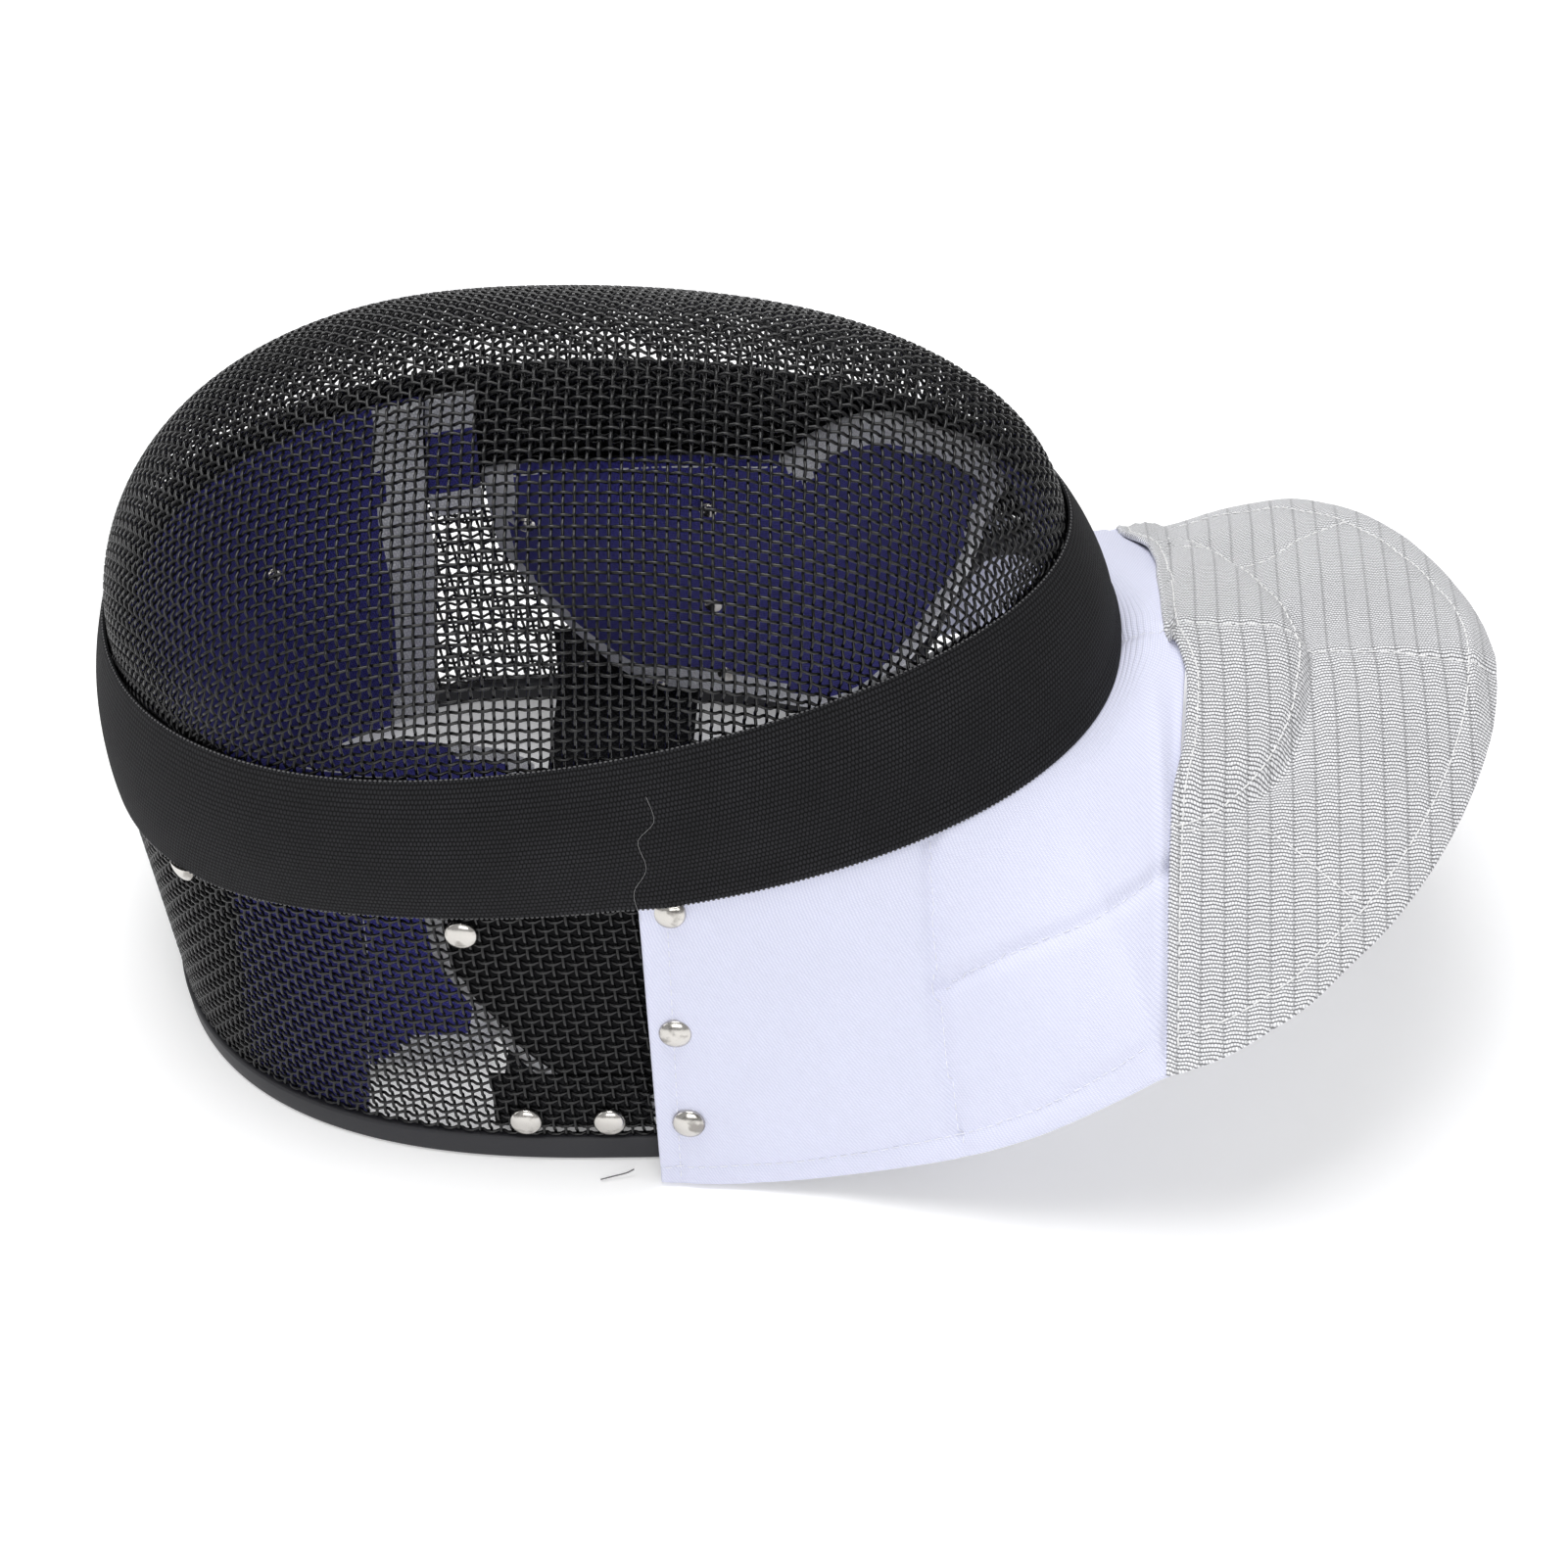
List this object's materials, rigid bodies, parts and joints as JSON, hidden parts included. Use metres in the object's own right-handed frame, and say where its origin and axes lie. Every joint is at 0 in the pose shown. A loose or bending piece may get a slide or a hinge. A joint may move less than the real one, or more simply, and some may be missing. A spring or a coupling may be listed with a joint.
{
  "type": "fencing mask",
  "caption": "Foil fencing mask: domed wire-mesh face and wall, elastic band, padded bib with a silver ribbed front, blue padded lining, back tongue and strap; lies face up.",
  "frame": {"origin": "on the surface that the mask lies on, under the middle of the whole mask", "axes": "+X from the crown towards the chin and bib, +Z the way the face looks (up as it lies), -Y the wearer's right side"},
  "size_m": [0.4022, 0.238, 0.2204],
  "materials": {
    "wire": "black lacquered woven steel wire, satin",
    "elastic": "black woven elastic webbing",
    "trim": "black hard vinyl strip, satin",
    "white_cloth": "white tight twill, padded and quilted, faint blue cast",
    "silver_cloth": "silver-grey ribbed conductive cloth",
    "lining": "blue brushed knit over foam, grey bound edges",
    "nickel": "bright nickel-plated domed rivet heads"
  },
  "bodies": {
    "root": {"front_mesh": "wire", "side_mesh": "wire", "trim_band": "elastic", "rim_trim": "trim", "bib_upper": "white_cloth", "bib_lower": "silver_cloth", "crown_pad": "lining", "chin_pad": "lining", "temple_pad_right": "lining", "temple_pad_left": "lining", "cheek_pad_right": "lining", "cheek_pad_left": "lining", "back_tongue": "lining", "rear_strap": "elastic", "rivet_crown_right": "nickel", "rivet_crown_left": "nickel", "rivet_temple_right": "nickel", "rivet_temple_left": "nickel", "rivet_strap_rear_right": "nickel", "rivet_strap_rear_left": "nickel", "rivet_strap_front_right": "nickel", "rivet_strap_front_left": "nickel", "rivet_bib_top_right": "nickel", "rivet_bib_top_left": "nickel", "rivet_bib_middle_right": "nickel", "rivet_bib_middle_left": "nickel", "rivet_bib_bottom_right": "nickel", "rivet_bib_bottom_left": "nickel"}
  },
  "joints": []
}
